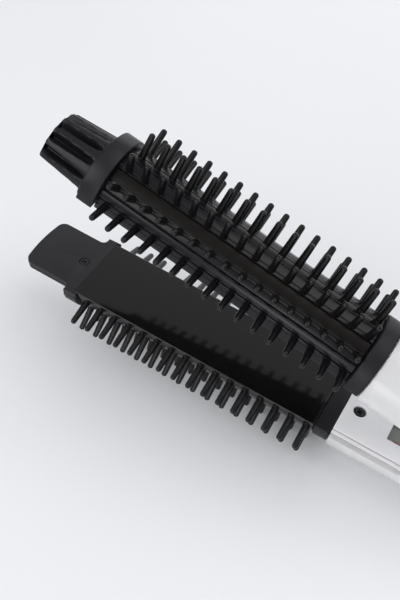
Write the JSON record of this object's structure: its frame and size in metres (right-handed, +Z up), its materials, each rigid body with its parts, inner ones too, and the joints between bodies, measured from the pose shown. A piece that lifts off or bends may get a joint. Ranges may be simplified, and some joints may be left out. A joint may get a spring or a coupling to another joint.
{
  "type": "curling iron",
  "caption": "Two-arm curling iron: a half-round heated barrel with rows of bristles, hinged to a flat heated plate arm, with a lock slider, push buttons and a swivel cord inlet.",
  "frame": {"origin": "centre of the bounding box on the table plane, with the tool lying open on its lower arm as it is put down", "axes": "+X along the tool from the tips to the cord inlet, +Y across the plate, +Z up, from the flat-plate arm towards the barrel arm"},
  "size_m": [0.3324, 0.053, 0.1111],
  "materials": {
    "black_plastic": "satin black moulded plastic, fine grain",
    "bristle_plastic": "semi-gloss black heat-resistant nylon",
    "plate_coating": "dark satin ceramic-type coating on aluminium",
    "barrel_coating": "dark brown-black satin coating on aluminium",
    "white_plastic": "white moulded plastic, soft gloss",
    "clear_plastic": "clear polished plastic shell",
    "pearl_liner": "pearl white that turns rose towards the underside",
    "steel": "plain zinc-plated steel",
    "heater_ceramic": "unglazed heater ceramic",
    "mica": "mica insulation sheet",
    "circuit_board": "green solder mask",
    "red_sleeve": "red silicone wire sleeve"
  },
  "bodies": {
    "lower_arm": {"heating_plate": "plate_coating", "plate_carrier": "black_plastic", "lower_bristles_1": "bristle_plastic", "lower_bristles_2": "bristle_plastic", "lower_bristles_3": "bristle_plastic", "lower_bristles_4": "bristle_plastic", "lower_bristles_5": "bristle_plastic", "lower_bristles_6": "bristle_plastic", "lower_heater": "heater_ceramic", "lower_mica_sheet": "mica", "lower_thermostat": "steel", "tip_tab_upper": "black_plastic", "tip_tab_lower": "black_plastic", "tab_screw": "steel", "lower_collar": "black_plastic", "lower_outer_shell": "clear_plastic", "lower_liner": "pearl_liner", "lower_inner_cover": "white_plastic", "lower_screw_front": "steel", "lower_screw_rear": "steel", "lower_board": "circuit_board", "catch_plate": "steel", "heater_lead": "red_sleeve", "hinge_yoke": "black_plastic", "pivot_pin": "steel", "torsion_spring": "steel"},
    "upper_arm": {"barrel_core": "barrel_coating", "barrel_plate": "plate_coating", "smooth_strip": "barrel_coating", "side_rail": "black_plastic", "upper_bristles_1": "bristle_plastic", "upper_bristles_2": "bristle_plastic", "upper_bristles_3": "bristle_plastic", "upper_bristles_4": "bristle_plastic", "upper_bristles_5": "bristle_plastic", "upper_bristles_6": "bristle_plastic", "upper_heater": "heater_ceramic", "upper_mica_sheet": "mica", "upper_thermostat": "steel", "ribbed_cap": "black_plastic", "rear_ring": "black_plastic", "upper_outer_shell": "clear_plastic", "upper_liner": "pearl_liner", "upper_inner_cover": "white_plastic", "upper_screw_front": "steel", "upper_screw_rear": "steel", "control_board": "circuit_board", "display_lens": "clear_plastic", "hinge_tongue": "black_plastic"},
    "lock_slider": {"lock_slider": "black_plastic"},
    "power_button": {"power_button": "white_plastic"},
    "heat_down_button": {"heat_down_button": "white_plastic"},
    "heat_up_button": {"heat_up_button": "white_plastic"},
    "swivel_gland": {"swivel_gland": "black_plastic"}
  },
  "joints": [
    {"name": "arm_hinge", "type": "hinge", "parent": "lower_arm", "child": "upper_arm", "pos_m": [0.13664, 0, 0.01782], "axis": [0, -1, 0], "range_deg": [0, 11.4], "stiffness_Nm_per_rad": 0.8, "springref_deg": -34.38, "deforming": ["torsion_spring"]},
    {"name": "lock_slide", "type": "slide", "parent": "upper_arm", "child": "lock_slider", "axis": [0.9681, 0, -0.2505], "range_m": [0, 0.004]},
    {"name": "power_press", "type": "slide", "parent": "upper_arm", "child": "power_button", "axis": [-0.2505, 0, -0.9681], "range_m": [0, 0.0008], "stiffness_N_per_m": 400, "springref_m": -0.001},
    {"name": "heat_down_press", "type": "slide", "parent": "upper_arm", "child": "heat_down_button", "axis": [-0.2505, 0, -0.9681], "range_m": [0, 0.0008], "stiffness_N_per_m": 400, "springref_m": -0.001},
    {"name": "heat_up_press", "type": "slide", "parent": "upper_arm", "child": "heat_up_button", "axis": [-0.2505, 0, -0.9681], "range_m": [0, 0.0008], "stiffness_N_per_m": 400, "springref_m": -0.001},
    {"name": "gland_swivel", "type": "hinge", "parent": "lower_arm", "child": "swivel_gland", "pos_m": [0.14705, 0, 0.00649], "axis": [0.9985, 0, -0.0542], "continuous": true}
  ]
}
